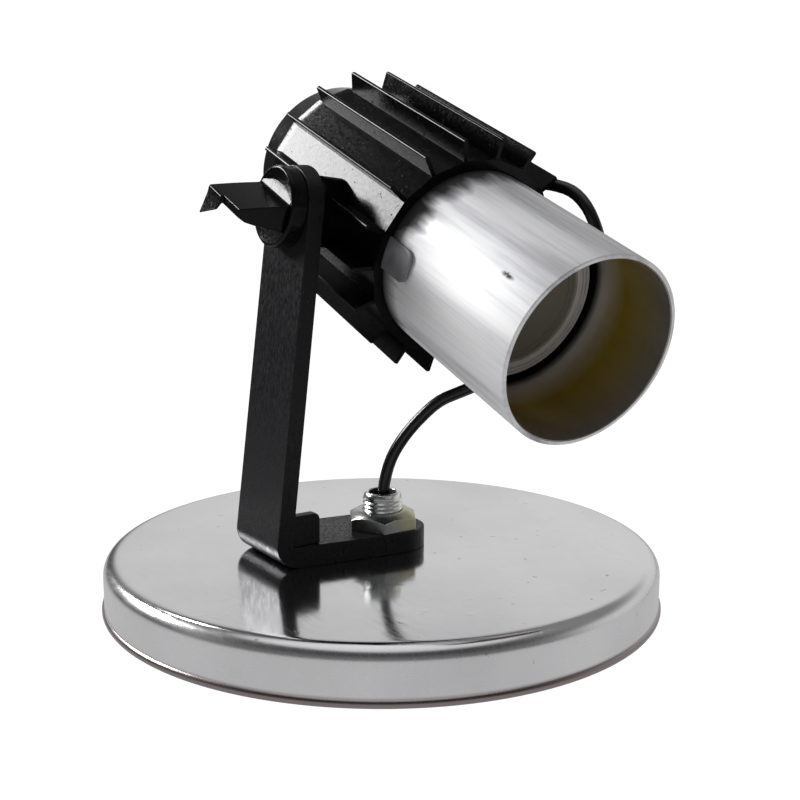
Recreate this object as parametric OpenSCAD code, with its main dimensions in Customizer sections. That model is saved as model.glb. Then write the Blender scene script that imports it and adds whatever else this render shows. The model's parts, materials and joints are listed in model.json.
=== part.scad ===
// Table spotlight: aluminium dish base, black swivelling arm, finned black head with a bright tube.
// The frame is in millimetres: Z is up, the base stands on Z = 0 and its axis is the Z axis.
// The head points toward -Y and the upright of the arm is on the -X side.

/* [Base] */
// Diameter of the dish at its upright skirt
base_d = 180; // [170:1:190]
// Height of the dish from the table to its top face
base_h = 17; // [17:0.5:22]
// Sheet thickness of the dish
base_wall = 1.2; // [1:0.1:1.6]
// Rounding between the top face and the skirt
base_round = 4.5; // [3:0.5:5]
// Diameter of the bead rolled round the lower edge
bead_d = 2.8; // [2.2:0.2:3]
// How far the bead stands out from the skirt
bead_out = 0.8; // [0.4:0.1:1.2]
// Thickness of the pad that closes the underside
pad_t = 2; // [1:0.5:3]
// Bore of the rubber grommet that takes the supply lead
inlet_bore = 4.4; // [3.8:0.2:4.6]

/* [Clamp] */
// Outside diameter of the hollow threaded nipple
nipple_d = 13; // [12:0.5:14]
// Bore of the nipple, where the flex goes through
nipple_bore = 8.8; // [8:0.2:9.4]
// How far the nipple stands above the foot of the arm
nipple_rise = 11.5; // [9:0.5:13]
// Width across the flats of both nipple nuts
nut_af = 21; // [18:0.5:23]
// Height of a nipple nut
nut_h = 5.5; // [4:0.5:6]

/* [Arm] */
// Distance from the clamp axis to the outer face of the upright, at the foot
arm_reach = 43.2; // [40:0.4:48]
// Inward lean of the upright in degrees
arm_lean = 7; // [5:0.5:9]
// Height of the tilt pivot above the dish
pivot_h = 110; // [106:1:120]
// How far the upright is set back from the clamp axis
arm_set = 8; // [0:1:10]
// Width of the upright at its foot
arm_w = 28; // [26:0.5:30]
// Width of the upright at the pivot
arm_top_w = 26; // [25:0.5:27]
// Thickness of the upright
arm_t = 5.4; // [4.6:0.2:6.4]
// Thickness of the foot
foot_t = 6.5; // [5:0.5:8]
// Rounding at the outside of the bend
bend_r = 7; // [5:0.5:9]

/* [Wing screw] */
// Diameter of the round flange
grip_d = 25; // [22:0.5:26]
// Thickness of the round flange
grip_t = 5.3; // [4.5:0.1:6.5]
// Length of the blade along its chord
blade_l = 20.5; // [15:0.5:21]
// How far the blade stands out from the flange
blade_out = 16.5; // [10:0.5:18]
// Angle in degrees at which the blade comes to rest
grip_turn = 20; // [0:1:30]
// Diameter of the threaded stud
stud_d = 6; // [5:0.5:6.5]

/* [Head] */
// Downward tilt of the head in degrees
head_tilt = 19; // [0:1:30]
// Diameter of the housing over the corners of its flats
body_d = 65.2; // [64.4:0.2:67]
// Diameter over the tips of the fins
fin_d = 78.2; // [74:0.2:79.4]
// Number of fins
fin_n = 18; // [18:2:22]
// Thickness of a fin
fin_t = 1.3; // [1:0.1:1.8]
// Length of the fins ahead of the pivot
fin_front = 30.6; // [29:0.2:34]
// Length of the fins behind the pivot
fin_rear = 40; // [36:0.5:44]
// Distance from the head axis to the end of the pivot boss
boss_reach = 41.5; // [40.5:0.5:44]
// Diameter of the pivot boss
boss_d = 22; // [20:0.5:24]
// Length of the rear cap behind the housing
cap_l = 16.5; // [13:0.5:20]

/* [Tube and lamp] */
// Outside diameter of the front tube
tube_d = 58; // [56.8:0.2:58.4]
// Wall of the front tube
tube_wall = 1.5; // [1:0.1:1.6]
// Distance of the tube mouth ahead of the pivot
tube_mouth = 95.5; // [90:0.5:105]
// Diameter of the reflector lamp
lamp_d = 50; // [49:0.5:51]
// Distance of the lamp face ahead of the pivot
lamp_face = 61.5; // [60:0.5:64]

/* [Flex] */
// Diameter of the flex between head and base
flex_d = 4; // [3.6:0.1:4.2]

/* [Hidden] */
$fn = 96;
eps = 0.05;
over = 1;
run_gap = 0.08;
seat_gap = 0.05;
loose_gap = 0.3;
hex_sides = 6;
quarter = 90;
half_turn = 180;
full_turn = 360;

// Base and clamp
base_r = base_d / 2;
bead_r = bead_d / 2;
pad_r = base_r - base_wall - seat_gap;
inlet_wall = 1.4;
inlet_lip = 1.2;
inlet_lip_t = 1.5;
inlet_neck_r = inlet_bore / 2 + inlet_wall;
inlet_lip_r = inlet_neck_r + inlet_lip;
inlet_z = bead_d + 0.4 + inlet_lip_r;
washer_r = nut_af / 2 + 2;
washer_t = 1;
foot_top = base_h + foot_t;
nipple_r = nipple_d / 2;
nipple_top = foot_top + nipple_rise;
nipple_end = base_h - base_wall - washer_t - nut_h - 2;
nipple_chamfer = 0.8;
nut_slope = 30;
nut_land = 0.8;

// Arm
pivot_x = -arm_reach + pivot_h * tan(arm_lean);
pivot_pos = [pivot_x, arm_set, base_h + pivot_h];
skew = atan(arm_set / arm_reach);
foot_r = arm_w / 2 * cos(skew);
bend_x = -arm_reach + bend_r * (tan(arm_lean) + 1 / cos(arm_lean));
limb_down = pivot_h / cos(arm_lean);
arm_top_r = arm_top_w / 2;
block_x = 14;
block_y = 3.6;
block_h = 10.8;
block_cut = 1.8;
stud_r = stud_d / 2;

// Wing screw
grip_r = grip_d / 2;
grip_edge = 1.2;
blade_root = 7.4;
blade_tip = 2.4;
lip_l = blade_l * 0.45;
lip_out = 4.5;
lip_drop = 4.6;
stud_seat = grip_t - 1.3;

// Head
pivot_pad_t = 0.8;
pivot_pad_r = boss_d / 2 - 1;
axis_off = arm_t + pivot_pad_t + boss_reach;
axis_x = [cos(arm_lean), 0, -sin(arm_lean)];
axis_z = [-sin(head_tilt) * sin(arm_lean), -cos(head_tilt), -sin(head_tilt) * cos(arm_lean)];
axis_y = [cos(head_tilt) * sin(arm_lean), -sin(head_tilt), cos(head_tilt) * cos(arm_lean)];
head_pos = pivot_pos + axis_off * axis_x;
body_r = body_d / 2;
body_flat = body_r * cos(half_turn / fin_n);
body_wall = 3.2;
bore_r = body_r - body_wall;
fin_r = fin_d / 2;
fin_sink = 1;
fin_step = full_turn / fin_n;
fin_land = 0.4;
shoulder_l = 4.8;
shoulder_in = 1.8;
slope_w = 2 * body_r * tan(half_turn / fin_n) + over;
body_front = fin_front + fin_land;
shoulder_front = fin_land - fin_rear;
body_rear = shoulder_front - shoulder_l;
tube_r = tube_d / 2;
tube_in_r = tube_r - tube_wall;
tube_rear = 17;
collar_r = tube_r + seat_gap;
stop_l = 2;
stop_r = tube_in_r + 0.4;
boss_r = boss_d / 2;
boss_root = bore_r + 0.4;
pivot_nut_af = stud_d * 5 / 3;
pivot_nut_l = 5;
pocket_end = bore_r + pivot_nut_l + 0.6;
stud_len = arm_t + pivot_pad_t + boss_reach - bore_r;

// Rear cap
cap_rim_l = 7;
cap_rim_r = bore_r - seat_gap;
cap_r = body_flat - shoulder_in;
cap_back_r = cap_r - 2.2;
cap_wall = 2.2;
cap_round = 4;
cap_end = body_rear - cap_l;

// Lamp, holder and bracket
lamp_r = lamp_d / 2;
lens_r = lamp_r - 4.6;
bezel_l = 3.2;
lens_t = 2;
lamp_neck_r = 15;
lamp_len = 50;
lamp_neck_l = 15;
lamp_rear = lamp_face - lamp_len;
pin_off = 5;
pin_neck_r = 1.25;
pin_head_r = 2.5;
pin_neck_l = 3.6;
pin_head_l = 3;
holder_r = 14;
holder_front = lamp_rear - 0.2;
contact_r = 3.4;
contact_l = 6.4;
bar_t = 1.2;
bar_top = -0.2;
bar_w = 16;
bar_len = 2 * (bore_r - 1.6);
window_x = 12;
window_y = 8;
post_off = bore_r - 4.6;
post_r = 3.4;
post_l = 11;
web_w = 5;
screw_r = 1.5;
screw_head_r = 3;
screw_head_t = 1.8;
screw_len = 8;
holder_screw_off = 9.5;

// Spring tongue that wedges the tube in its collar, on the pivot side
clip_w = 10;
clip_t = 1.1;
clip_front = 44.5;
clip_round = 3;
clip_in_r = tube_r + seat_gap;
clip_out_r = clip_in_r + clip_t;

// Spout for the flex on the far side of the head, between two fins, and the bush in its mouth
gland_phi = quarter - 2.5 * fin_step;
gland_r = body_r + 3.2;
spout_r = 3.6;
spout_l = 12.5;
spout_front = 8;
spout_rear = spout_front - spout_l;
spout_web = 6;
spout_wall = 1.5;
duct_r = 2.6;
bush_neck_l = 4;
bush_lip_r = 3.4;
bush_lip_t = 1.2;
bush_face = spout_front + bush_lip_t;
cord_gap = 0.15;
flex_sides = 10;
flex_steps = 3;
wire_d = 1.8;
wire_sides = 8;
wire_steps = 3;
wire_gap = 2.2;

// A point at a station along the head axis, at a radius and an angle about it
function at_head(l, r, a) = head_pos + l * axis_z + r * (cos(a) * axis_x + sin(a) * axis_y);

flex_route = [
    at_head(bush_face + cord_gap, gland_r, gland_phi),
    at_head(bush_face + 4, gland_r, gland_phi),
    at_head(bush_face + 9, gland_r + 0.8, gland_phi + 0.5),
    at_head(bush_face + 16, gland_r + 2.8, gland_phi + 2.5),
    head_pos + [32, -40, 11],
    head_pos + [33, -46, 6.5],
    head_pos + [33.5, -50.5, -0.5],
    head_pos + [34, -52.5, -8.5],
    head_pos + [33.5, -52, -16.5],
    head_pos + [32, -50, -24],
    head_pos + [29, -46.5, -31],
    [43, -34, nipple_top + 49],
    [33, -24.5, nipple_top + 40.5],
    [21.5, -14.5, nipple_top + 33.5],
    [15.5, -10, nipple_top + 30],
    [10.5, -6.5, nipple_top + 24.5],
    [6, -3.5, nipple_top + 18],
    [2.5, -1.5, nipple_top + 11],
    [0.5, -0.5, nipple_top + 3],
    [0, 0, nipple_top - 5],
    [0, 0, nipple_top - 14],
    [0, 0, nipple_end + 2]
];

// Stations of the two cores inside the head: radius on the gland side, then distance along the axis
core_route = [
    [gland_r, spout_front - bush_neck_l - cord_gap],
    [gland_r, spout_front - bush_neck_l - 1],
    [gland_r - 0.3, 1],
    [gland_r - 1.8, 0],
    [body_r - 0.5, -0.3],
    [bore_r - 1.5, -0.5],
    [bore_r - 5.5, -1.5],
    [bore_r - 9, -5],
    [14, -10],
    [6, -12.5],
    [1, -10],
    [0, -5],
    [0, bar_top]
];

// Smooth curve through the points of a route
function knot(p, i) =
    i < 0 ? 2 * p[0] - p[1] :
    i >= len(p) ? 2 * p[len(p) - 1] - p[len(p) - 2] :
    p[i];
function bend(a, b, c, d, t) =
    0.5 * (2 * b + (c - a) * t + (2 * a - 5 * b + 4 * c - d) * t * t
        + (3 * b - a - 3 * c + d) * t * t * t);
function curve(p, n) = concat(
    [for (i = [0 : len(p) - 2])
        for (k = [0 : n - 1])
            bend(knot(p, i - 1), p[i], p[i + 1], knot(p, i + 2), k / n)],
    [p[len(p) - 1]]
);
function unit(v) = v / norm(v);
function along(c, i) = unit(c[min(i + 1, len(c) - 1)] - c[max(i - 1, 0)]);
function square_to(v, t) = unit(v - (v * t) * t);
// A side direction for every ring, carried along the curve without twist
function sides_of(c, s) = [
    for (i = 0, n = square_to(s, along(c, 0)); i < len(c); i = i + 1,
        n = square_to(n, along(c, min(i, len(c) - 1)))) n
];
function rings(c, r, m, s) = let (n = sides_of(c, s)) [
    for (i = [0 : len(c) - 1])
        let (t = along(c, i), u = n[i], w = cross(t, u))
            for (k = [0 : m - 1])
                c[i] + r * (cos(full_turn * k / m) * u + sin(full_turn * k / m) * w)
];

module round_sweep(route, d, m, steps, side) {
    c = curve(route, steps);
    n = len(c);
    walls = [
        for (i = [0 : n - 2])
            for (k = [0 : m - 1])
                [i * m + k, i * m + (k + 1) % m, (i + 1) * m + (k + 1) % m, (i + 1) * m + k]
    ];
    first = [[for (k = [m - 1 : -1 : 0]) k]];
    last = [[for (k = [0 : m - 1]) (n - 1) * m + k]];
    polyhedron(points = rings(c, d / 2, m, side), faces = concat(walls, first, last));
}

// Frames of the moving pieces
module limb_frame() {
    translate(pivot_pos) rotate([0, arm_lean, 0]) children();
}

module grip_frame() {
    limb_frame() rotate([grip_turn, 0, 0]) rotate([0, -quarter, 0]) children();
}

module head_frame() {
    translate(head_pos) rotate([0, arm_lean, 0]) rotate([quarter + head_tilt, 0, 0]) children();
}

// Points from the head axis toward the arm
module boss_frame() {
    head_frame() rotate([0, -quarter, 0]) children();
}

module ring(r_out, r_in, h) {
    difference() {
        cylinder(r = r_out, h = h);
        translate([0, 0, -over]) cylinder(r = r_in, h = h + 2 * over);
    }
}

module hex(af, h) {
    cylinder(d = af / cos(half_turn / hex_sides), h = h, $fn = hex_sides);
}

// A hexagon nut with its upper corners turned off
module hex_nut(af, h, bore) {
    difference() {
        intersection() {
            hex(af, h);
            cylinder(r1 = nut_land * af / 2 + h / tan(nut_slope), r2 = nut_land * af / 2, h = h);
        }
        translate([0, 0, -over]) cylinder(d = bore, h = h + 2 * over);
    }
}

// Half section of a shallow dish with a rounded top edge
module dish_section(r, h, round) {
    square([r - round, h]);
    square([r, h - round]);
    translate([r - round, h - round]) circle(r = round);
}

module base_dish() {
    color("silver") difference() {
        rotate_extrude() difference() {
            union() {
                dish_section(base_r, base_h, base_round);
                translate([base_r + bead_out - bead_r, bead_r]) circle(r = bead_r);
            }
            translate([0, -over])
                dish_section(base_r - base_wall, base_h - base_wall + over, base_round - base_wall);
        }
        cylinder(r = nipple_r + seat_gap, h = base_h + over);
        translate([0, base_r - 2 * base_wall, inlet_z]) rotate([-quarter, 0, 0])
            cylinder(r = inlet_neck_r + seat_gap, h = 4 * base_wall);
    }
}

module base_pad() {
    color("dimgray") cylinder(r = pad_r, h = pad_t);
}

module inlet_grommet() {
    inner = sqrt(pow(base_r - base_wall, 2) - pow(inlet_lip_r, 2));
    color("black") translate([0, 0, inlet_z]) rotate([-quarter, 0, 0]) difference() {
        union() {
            translate([0, 0, base_r]) cylinder(r = inlet_lip_r, h = inlet_lip_t);
            translate([0, 0, inner - inlet_lip_t])
                cylinder(r = inlet_lip_r, h = inlet_lip_t);
            translate([0, 0, inner - eps])
                cylinder(r = inlet_neck_r, h = base_r - inner + 2 * eps);
        }
        translate([0, 0, inner - inlet_lip_t - over])
            cylinder(d = inlet_bore, h = base_r - inner + 2 * inlet_lip_t + 2 * over);
    }
}

module nipple() {
    color("silver") difference() {
        union() {
            translate([0, 0, nipple_end])
                cylinder(r = nipple_r, h = nipple_top - nipple_end - nipple_chamfer);
            translate([0, 0, nipple_top - nipple_chamfer])
                cylinder(r1 = nipple_r, r2 = nipple_r - nipple_chamfer, h = nipple_chamfer);
        }
        translate([0, 0, nipple_end - over])
            cylinder(d = nipple_bore, h = nipple_top - nipple_end + 2 * over);
    }
}

module clamp_nut() {
    color("silver") translate([0, 0, foot_top]) hex_nut(nut_af, nut_h, nipple_d + 2 * seat_gap);
}

module lock_washer() {
    color("silver") translate([0, 0, base_h - base_wall - washer_t])
        ring(washer_r, nipple_r + seat_gap, washer_t);
}

module lock_nut() {
    color("silver") translate([0, 0, base_h - base_wall - washer_t - nut_h])
        hex_nut(nut_af, nut_h, nipple_d + 2 * seat_gap);
}

// Side view of the bend, to be kept by the arm: everything inside the rounded outer corner
module bend_section() {
    tall = pivot_h * 1.4;
    difference() {
        polygon([
            [-arm_reach, 0],
            [arm_reach, 0],
            [arm_reach, tall],
            [-arm_reach + tall * tan(arm_lean), tall]
        ]);
        difference() {
            polygon([
                [-arm_reach - bend_r, -over],
                [bend_x, -over],
                [bend_x, bend_r],
                [bend_x - bend_r * cos(arm_lean), bend_r + bend_r * sin(arm_lean)],
                [-arm_reach - bend_r, bend_r + bend_r * sin(arm_lean)]
            ]);
            translate([bend_x, bend_r]) circle(r = bend_r);
        }
    }
}

module arm() {
    color("#1c1c1e") difference() {
        intersection() {
            translate([0, foot_r * 4, base_h]) rotate([quarter, 0, 0])
                linear_extrude(foot_r * 8) bend_section();
            union() {
                limb_frame() rotate([0, quarter, 0]) linear_extrude(arm_t) union() {
                    circle(r = arm_top_r);
                    polygon([
                        [0, -arm_top_r],
                        [limb_down + arm_t, -arm_w / 2],
                        [limb_down + arm_t, arm_w / 2],
                        [0, arm_top_r]
                    ]);
                }
                translate([0, 0, base_h]) linear_extrude(foot_t) union() {
                    circle(r = foot_r);
                    polygon([
                        [-arm_reach, arm_set - arm_w / 2],
                        [-foot_r * sin(skew), -foot_r * cos(skew)],
                        [foot_r * sin(skew), foot_r * cos(skew)],
                        [-arm_reach, arm_set + arm_w / 2]
                    ]);
                }
                translate([-arm_reach + arm_t / 2, arm_set - arm_w / 2 + block_y, foot_top - eps])
                    rotate([quarter, 0, 0]) linear_extrude(block_y) polygon([
                        [0, 0],
                        [block_x, 0],
                        [block_x, block_h - block_cut],
                        [block_x - block_cut, block_h],
                        [0, block_h]
                    ]);
            }
        }
        translate([0, 0, base_h - over])
            cylinder(r = nipple_r + run_gap, h = foot_t + 2 * over);
        limb_frame() rotate([0, quarter, 0]) translate([0, 0, -over])
            cylinder(r = stud_r + run_gap, h = arm_t + 2 * over);
    }
}

// In the grip frame Z points out of the arm, X up and Y back along the chord of the blade
module wing_grip() {
    color("#151516") grip_frame() difference() {
        union() {
            cylinder(r = grip_r, h = grip_t - grip_edge);
            translate([0, 0, grip_t - grip_edge])
                cylinder(r1 = grip_r, r2 = grip_r - grip_edge, h = grip_edge);
            translate([0, blade_l / 2, grip_t - eps]) rotate([quarter, 0, 0])
                linear_extrude(blade_l) polygon([
                    [-blade_root / 2, 0],
                    [blade_root / 2, 0],
                    [blade_tip / 2, blade_out],
                    [-blade_tip / 2, blade_out]
                ]);
            translate([0, blade_l / 2, grip_t + blade_out - eps]) rotate([quarter, 0, 0])
                linear_extrude(lip_l) polygon([
                    [-blade_tip / 2, 0],
                    [blade_tip / 2, 0],
                    [-lip_drop, lip_out],
                    [-lip_drop - blade_tip, lip_out - blade_tip]
                ]);
        }
        translate([0, 0, -over]) cylinder(r = stud_r + seat_gap, h = stud_seat + over);
    }
}

module wing_stud() {
    color("silver") grip_frame() translate([0, 0, -stud_len])
        cylinder(r = stud_r, h = stud_len + stud_seat);
}

// The housing is a prism with a flat between each pair of fins, and each flat slopes in at the rear
module flats() {
    difference() {
        translate([0, 0, body_rear]) linear_extrude(body_front - body_rear) polygon([
            for (i = [0 : fin_n - 1])
                body_r * [cos(quarter + i * fin_step), sin(quarter + i * fin_step)]
        ]);
        for (i = [0 : fin_n - 1])
            rotate([0, 0, quarter + (i + 0.5) * fin_step]) translate([body_flat, 0, shoulder_front])
                rotate([0, -atan(shoulder_in / shoulder_l), 0])
                    translate([0, -slope_w / 2, -2 * shoulder_l])
                        cube([2 * shoulder_in, slope_w, 2 * shoulder_l]);
    }
}

// Collar for the tube, stop behind it and the hollow of the housing
module hollow() {
    translate([0, 0, body_rear - over]) cylinder(r = bore_r, h = tube_rear - stop_l - body_rear + over);
    translate([0, 0, tube_rear - stop_l - over]) cylinder(r = stop_r, h = stop_l + 2 * over);
    translate([0, 0, tube_rear]) cylinder(r = collar_r, h = body_front - tube_rear + over);
}

// Inner posts that carry the bracket, one above and one below the head axis
module posts() {
    for (s = [1, -1]) {
        translate([0, s * post_off, bar_top - bar_t - post_l]) cylinder(r = post_r, h = post_l);
        translate([-web_w / 2, s > 0 ? post_off : -bore_r - over, bar_top - bar_t - post_l])
            cube([web_w, bore_r + over - post_off, post_l]);
    }
}

// Closed behind and open in front, it lets the flex leave along the fins
module spout() {
    translate([gland_r, 0, spout_rear]) cylinder(r = spout_r, h = spout_l);
    translate([body_r - fin_sink, -spout_web / 2, spout_rear])
        cube([gland_r - body_r + fin_sink, spout_web, spout_l]);
}

module duct() {
    translate([gland_r, 0, spout_rear + spout_wall]) cylinder(r = duct_r, h = spout_l);
    translate([bore_r - over, 0, 0]) rotate([0, quarter, 0])
        cylinder(r = duct_r - eps, h = gland_r - bore_r + over);
}

module housing() {
    color("#161617") difference() {
        union() {
            head_frame() difference() {
                flats();
                hollow();
            }
            head_frame() for (i = [0 : fin_n - 1])
                rotate([0, 0, quarter + i * fin_step])
                    translate([body_r - fin_sink, -fin_t / 2, -fin_rear])
                        cube([fin_r - body_r + fin_sink, fin_t, fin_rear + fin_front]);
            head_frame() posts();
            boss_frame() translate([0, 0, boss_root]) cylinder(r = boss_r, h = boss_reach - boss_root);
            head_frame() rotate([0, 0, gland_phi]) spout();
        }
        boss_frame() cylinder(r = stud_r + loose_gap, h = boss_reach + over);
        boss_frame() translate([0, 0, bore_r - over])
            hex(pivot_nut_af + 2 * seat_gap, pocket_end - bore_r + over);
        head_frame() translate([-clip_out_r - seat_gap, -clip_w / 2 - seat_gap, tube_rear])
            cube([clip_t + tube_wall, clip_w + 2 * seat_gap, body_front - tube_rear + over]);
        head_frame() rotate([0, 0, gland_phi]) duct();
        head_frame() for (s = [1, -1])
            translate([0, s * post_off, bar_top - bar_t - screw_len])
                cylinder(r = screw_r + seat_gap, h = screw_len + over);
    }
}

module pivot_nut() {
    color("silver") boss_frame() translate([0, 0, pocket_end - pivot_nut_l])
        difference() {
            hex(pivot_nut_af, pivot_nut_l);
            translate([0, 0, -over]) cylinder(r = stud_r + run_gap, h = pivot_nut_l + 2 * over);
        }
}

module pivot_pad() {
    color("dimgray") boss_frame() translate([0, 0, boss_reach])
        ring(pivot_pad_r, stud_r + loose_gap, pivot_pad_t);
}

module rear_cap() {
    color("#161617") head_frame() rotate_extrude() difference() {
        union() {
            translate([0, cap_end + cap_round]) square([cap_back_r, cap_l - cap_round]);
            translate([0, cap_end]) square([cap_back_r - cap_round, cap_round]);
            translate([cap_back_r - cap_round, cap_end + cap_round]) circle(r = cap_round);
            polygon([
                [0, cap_end + cap_round],
                [cap_back_r, cap_end + cap_round],
                [cap_r, body_rear],
                [0, body_rear]
            ]);
            translate([0, body_rear]) square([cap_rim_r, cap_rim_l]);
        }
        translate([0, cap_end + cap_wall])
            square([cap_back_r - cap_wall, cap_l + cap_rim_l - cap_wall + over]);
    }
}

module tube() {
    color("#d4d5d8") head_frame() translate([0, 0, tube_rear])
        ring(tube_r, tube_in_r, tube_mouth - tube_rear);
}

module tube_clip() {
    color("gray") head_frame() intersection() {
        translate([0, 0, tube_rear]) ring(clip_out_r, clip_in_r, clip_front - tube_rear);
        rotate([0, -quarter, 0]) linear_extrude(clip_out_r + over) union() {
            translate([tube_rear, -clip_w / 2])
                square([clip_front - clip_round - tube_rear, clip_w]);
            translate([tube_rear, -clip_w / 2 + clip_round])
                square([clip_front - tube_rear, clip_w - 2 * clip_round]);
            for (s = [1, -1])
                translate([clip_front - clip_round, s * (clip_w / 2 - clip_round)])
                    circle(r = clip_round);
        }
    }
}

module lamp_body() {
    front = lamp_face - bezel_l;
    neck = lamp_rear + lamp_neck_l;
    color("gainsboro") head_frame() rotate_extrude() polygon([
        [0, lamp_rear],
        [lamp_neck_r - 1, lamp_rear],
        [lamp_neck_r, lamp_rear + 1],
        [lamp_neck_r, neck],
        [lamp_neck_r + 3.5, neck + (front - neck) * 0.35],
        [lamp_neck_r + 7, neck + (front - neck) * 0.75],
        [lamp_r - 1, front],
        [0, front]
    ]);
}

module lamp_bezel() {
    color("lightgray") head_frame() translate([0, 0, lamp_face - bezel_l])
        difference() {
            union() {
                cylinder(r = lamp_r, h = bezel_l - 0.6);
                translate([0, 0, bezel_l - 0.6]) cylinder(r1 = lamp_r, r2 = lamp_r - 0.6, h = 0.6);
            }
            translate([0, 0, -over]) cylinder(r = lens_r + seat_gap, h = bezel_l + 2 * over);
        }
}

module lamp_lens() {
    color("lightsteelblue") head_frame() translate([0, 0, lamp_face - bezel_l])
        cylinder(r = lens_r, h = lens_t);
}

module lamp_pins() {
    color("silver") head_frame() for (s = [1, -1]) translate([s * pin_off, 0, 0]) {
        translate([0, 0, lamp_rear - pin_neck_l]) cylinder(r = pin_neck_r, h = pin_neck_l);
        translate([0, 0, lamp_rear - pin_neck_l - pin_head_l])
            cylinder(r = pin_head_r, h = pin_head_l);
    }
}

module lampholder() {
    color("ivory") head_frame() difference() {
        translate([0, 0, bar_top]) cylinder(r = holder_r, h = holder_front - bar_top);
        for (s = [1, -1]) {
            translate([s * pin_off, 0, lamp_rear - pin_neck_l - pin_head_l - 1])
                cylinder(r = contact_r + seat_gap, h = holder_front);
            translate([0, s * holder_screw_off, bar_top - over])
                cylinder(r = screw_r + seat_gap, h = screw_len + over);
        }
    }
}

module holder_contacts() {
    color("goldenrod") head_frame() for (s = [1, -1])
        translate([s * pin_off, 0, lamp_rear - pin_neck_l - pin_head_l - 1])
            ring(contact_r, pin_head_r + seat_gap, contact_l);
}

module holder_bracket() {
    color("silver") head_frame() translate([0, 0, bar_top - bar_t]) difference() {
        translate([-bar_w / 2, -bar_len / 2, 0]) cube([bar_w, bar_len, bar_t]);
        translate([-window_x / 2, -window_y / 2, -over])
            cube([window_x, window_y, bar_t + 2 * over]);
        for (y = [post_off, -post_off, holder_screw_off, -holder_screw_off])
            translate([0, y, -over]) cylinder(r = screw_r + loose_gap, h = bar_t + 2 * over);
    }
}

module screw() {
    cylinder(r = screw_head_r, h = screw_head_t);
    translate([0, 0, -screw_len]) cylinder(r = screw_r, h = screw_len + eps);
}

module bracket_screws() {
    color("silver") head_frame() for (s = [1, -1]) translate([0, s * post_off, bar_top]) screw();
}

module holder_screws() {
    color("silver") head_frame() for (s = [1, -1])
        translate([0, s * holder_screw_off, bar_top - bar_t]) mirror([0, 0, 1]) screw();
}

module flex_bush() {
    color("black") head_frame() rotate([0, 0, gland_phi]) translate([gland_r, 0, 0]) {
        translate([0, 0, spout_front]) cylinder(r = bush_lip_r, h = bush_lip_t);
        translate([0, 0, spout_front - bush_neck_l])
            cylinder(r = duct_r - seat_gap, h = bush_neck_l + eps);
    }
}

module head_wires() {
    color("#3a2a22") head_frame() rotate([0, 0, gland_phi]) for (s = [1, -1])
        round_sweep(
            [for (p = core_route) [p[0], s * wire_gap / 2, p[1]]],
            wire_d, wire_sides, wire_steps, [0, 1, 0]
        );
}

module flex() {
    color("#111112") round_sweep(flex_route, flex_d, flex_sides, flex_steps, axis_z);
}

base_dish();
base_pad();
inlet_grommet();
nipple();
clamp_nut();
lock_washer();
lock_nut();
arm();
flex();
wing_grip();
wing_stud();
housing();
pivot_nut();
pivot_pad();
rear_cap();
tube();
tube_clip();
lamp_body();
lamp_bezel();
lamp_lens();
lamp_pins();
lampholder();
holder_contacts();
holder_bracket();
bracket_screws();
holder_screws();
flex_bush();
head_wires();
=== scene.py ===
# %% [markdown]
# This lesson dresses a small table spotlight: a spun aluminium dish, a black swivelling arm, a finned
# black head and a bright tube round a reflector lamp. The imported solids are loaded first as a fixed
# frame, so every new piece can be put exactly where the construction says.

# %% Load the frame
import json
from math import atan, cos, pi, radians, sin, sqrt, tan
import bmesh
import bpy
from bmesh.types import BMEdge, BMFace, BMVert
from mathutils import Matrix, Vector


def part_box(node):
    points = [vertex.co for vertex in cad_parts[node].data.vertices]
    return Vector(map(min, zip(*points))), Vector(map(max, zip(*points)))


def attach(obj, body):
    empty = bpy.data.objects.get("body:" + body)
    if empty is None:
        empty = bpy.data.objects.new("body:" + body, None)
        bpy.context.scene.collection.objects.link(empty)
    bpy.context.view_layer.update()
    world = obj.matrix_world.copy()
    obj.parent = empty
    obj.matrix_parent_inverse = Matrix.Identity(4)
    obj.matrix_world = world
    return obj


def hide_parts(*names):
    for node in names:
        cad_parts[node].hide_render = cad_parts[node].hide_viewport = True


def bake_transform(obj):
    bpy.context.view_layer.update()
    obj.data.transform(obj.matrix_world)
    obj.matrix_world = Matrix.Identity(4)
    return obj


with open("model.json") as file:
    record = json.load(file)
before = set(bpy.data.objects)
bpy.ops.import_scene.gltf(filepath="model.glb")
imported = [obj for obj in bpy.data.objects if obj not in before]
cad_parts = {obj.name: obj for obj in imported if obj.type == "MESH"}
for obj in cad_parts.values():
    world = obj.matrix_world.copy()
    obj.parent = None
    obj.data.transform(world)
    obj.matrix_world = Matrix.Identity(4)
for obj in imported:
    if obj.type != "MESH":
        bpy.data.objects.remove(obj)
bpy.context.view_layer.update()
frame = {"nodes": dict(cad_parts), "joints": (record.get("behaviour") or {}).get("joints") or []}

scene = bpy.context.scene

# %% [markdown]
# The camera comes before any shape, because every later choice is judged through it. Its place and its
# lens were worked out from the outlines of base, arm and head, so it stands where the photograph was taken:
# to the left of the lamp, a little above it. The three directions are its right, up and backward axes.

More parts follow.
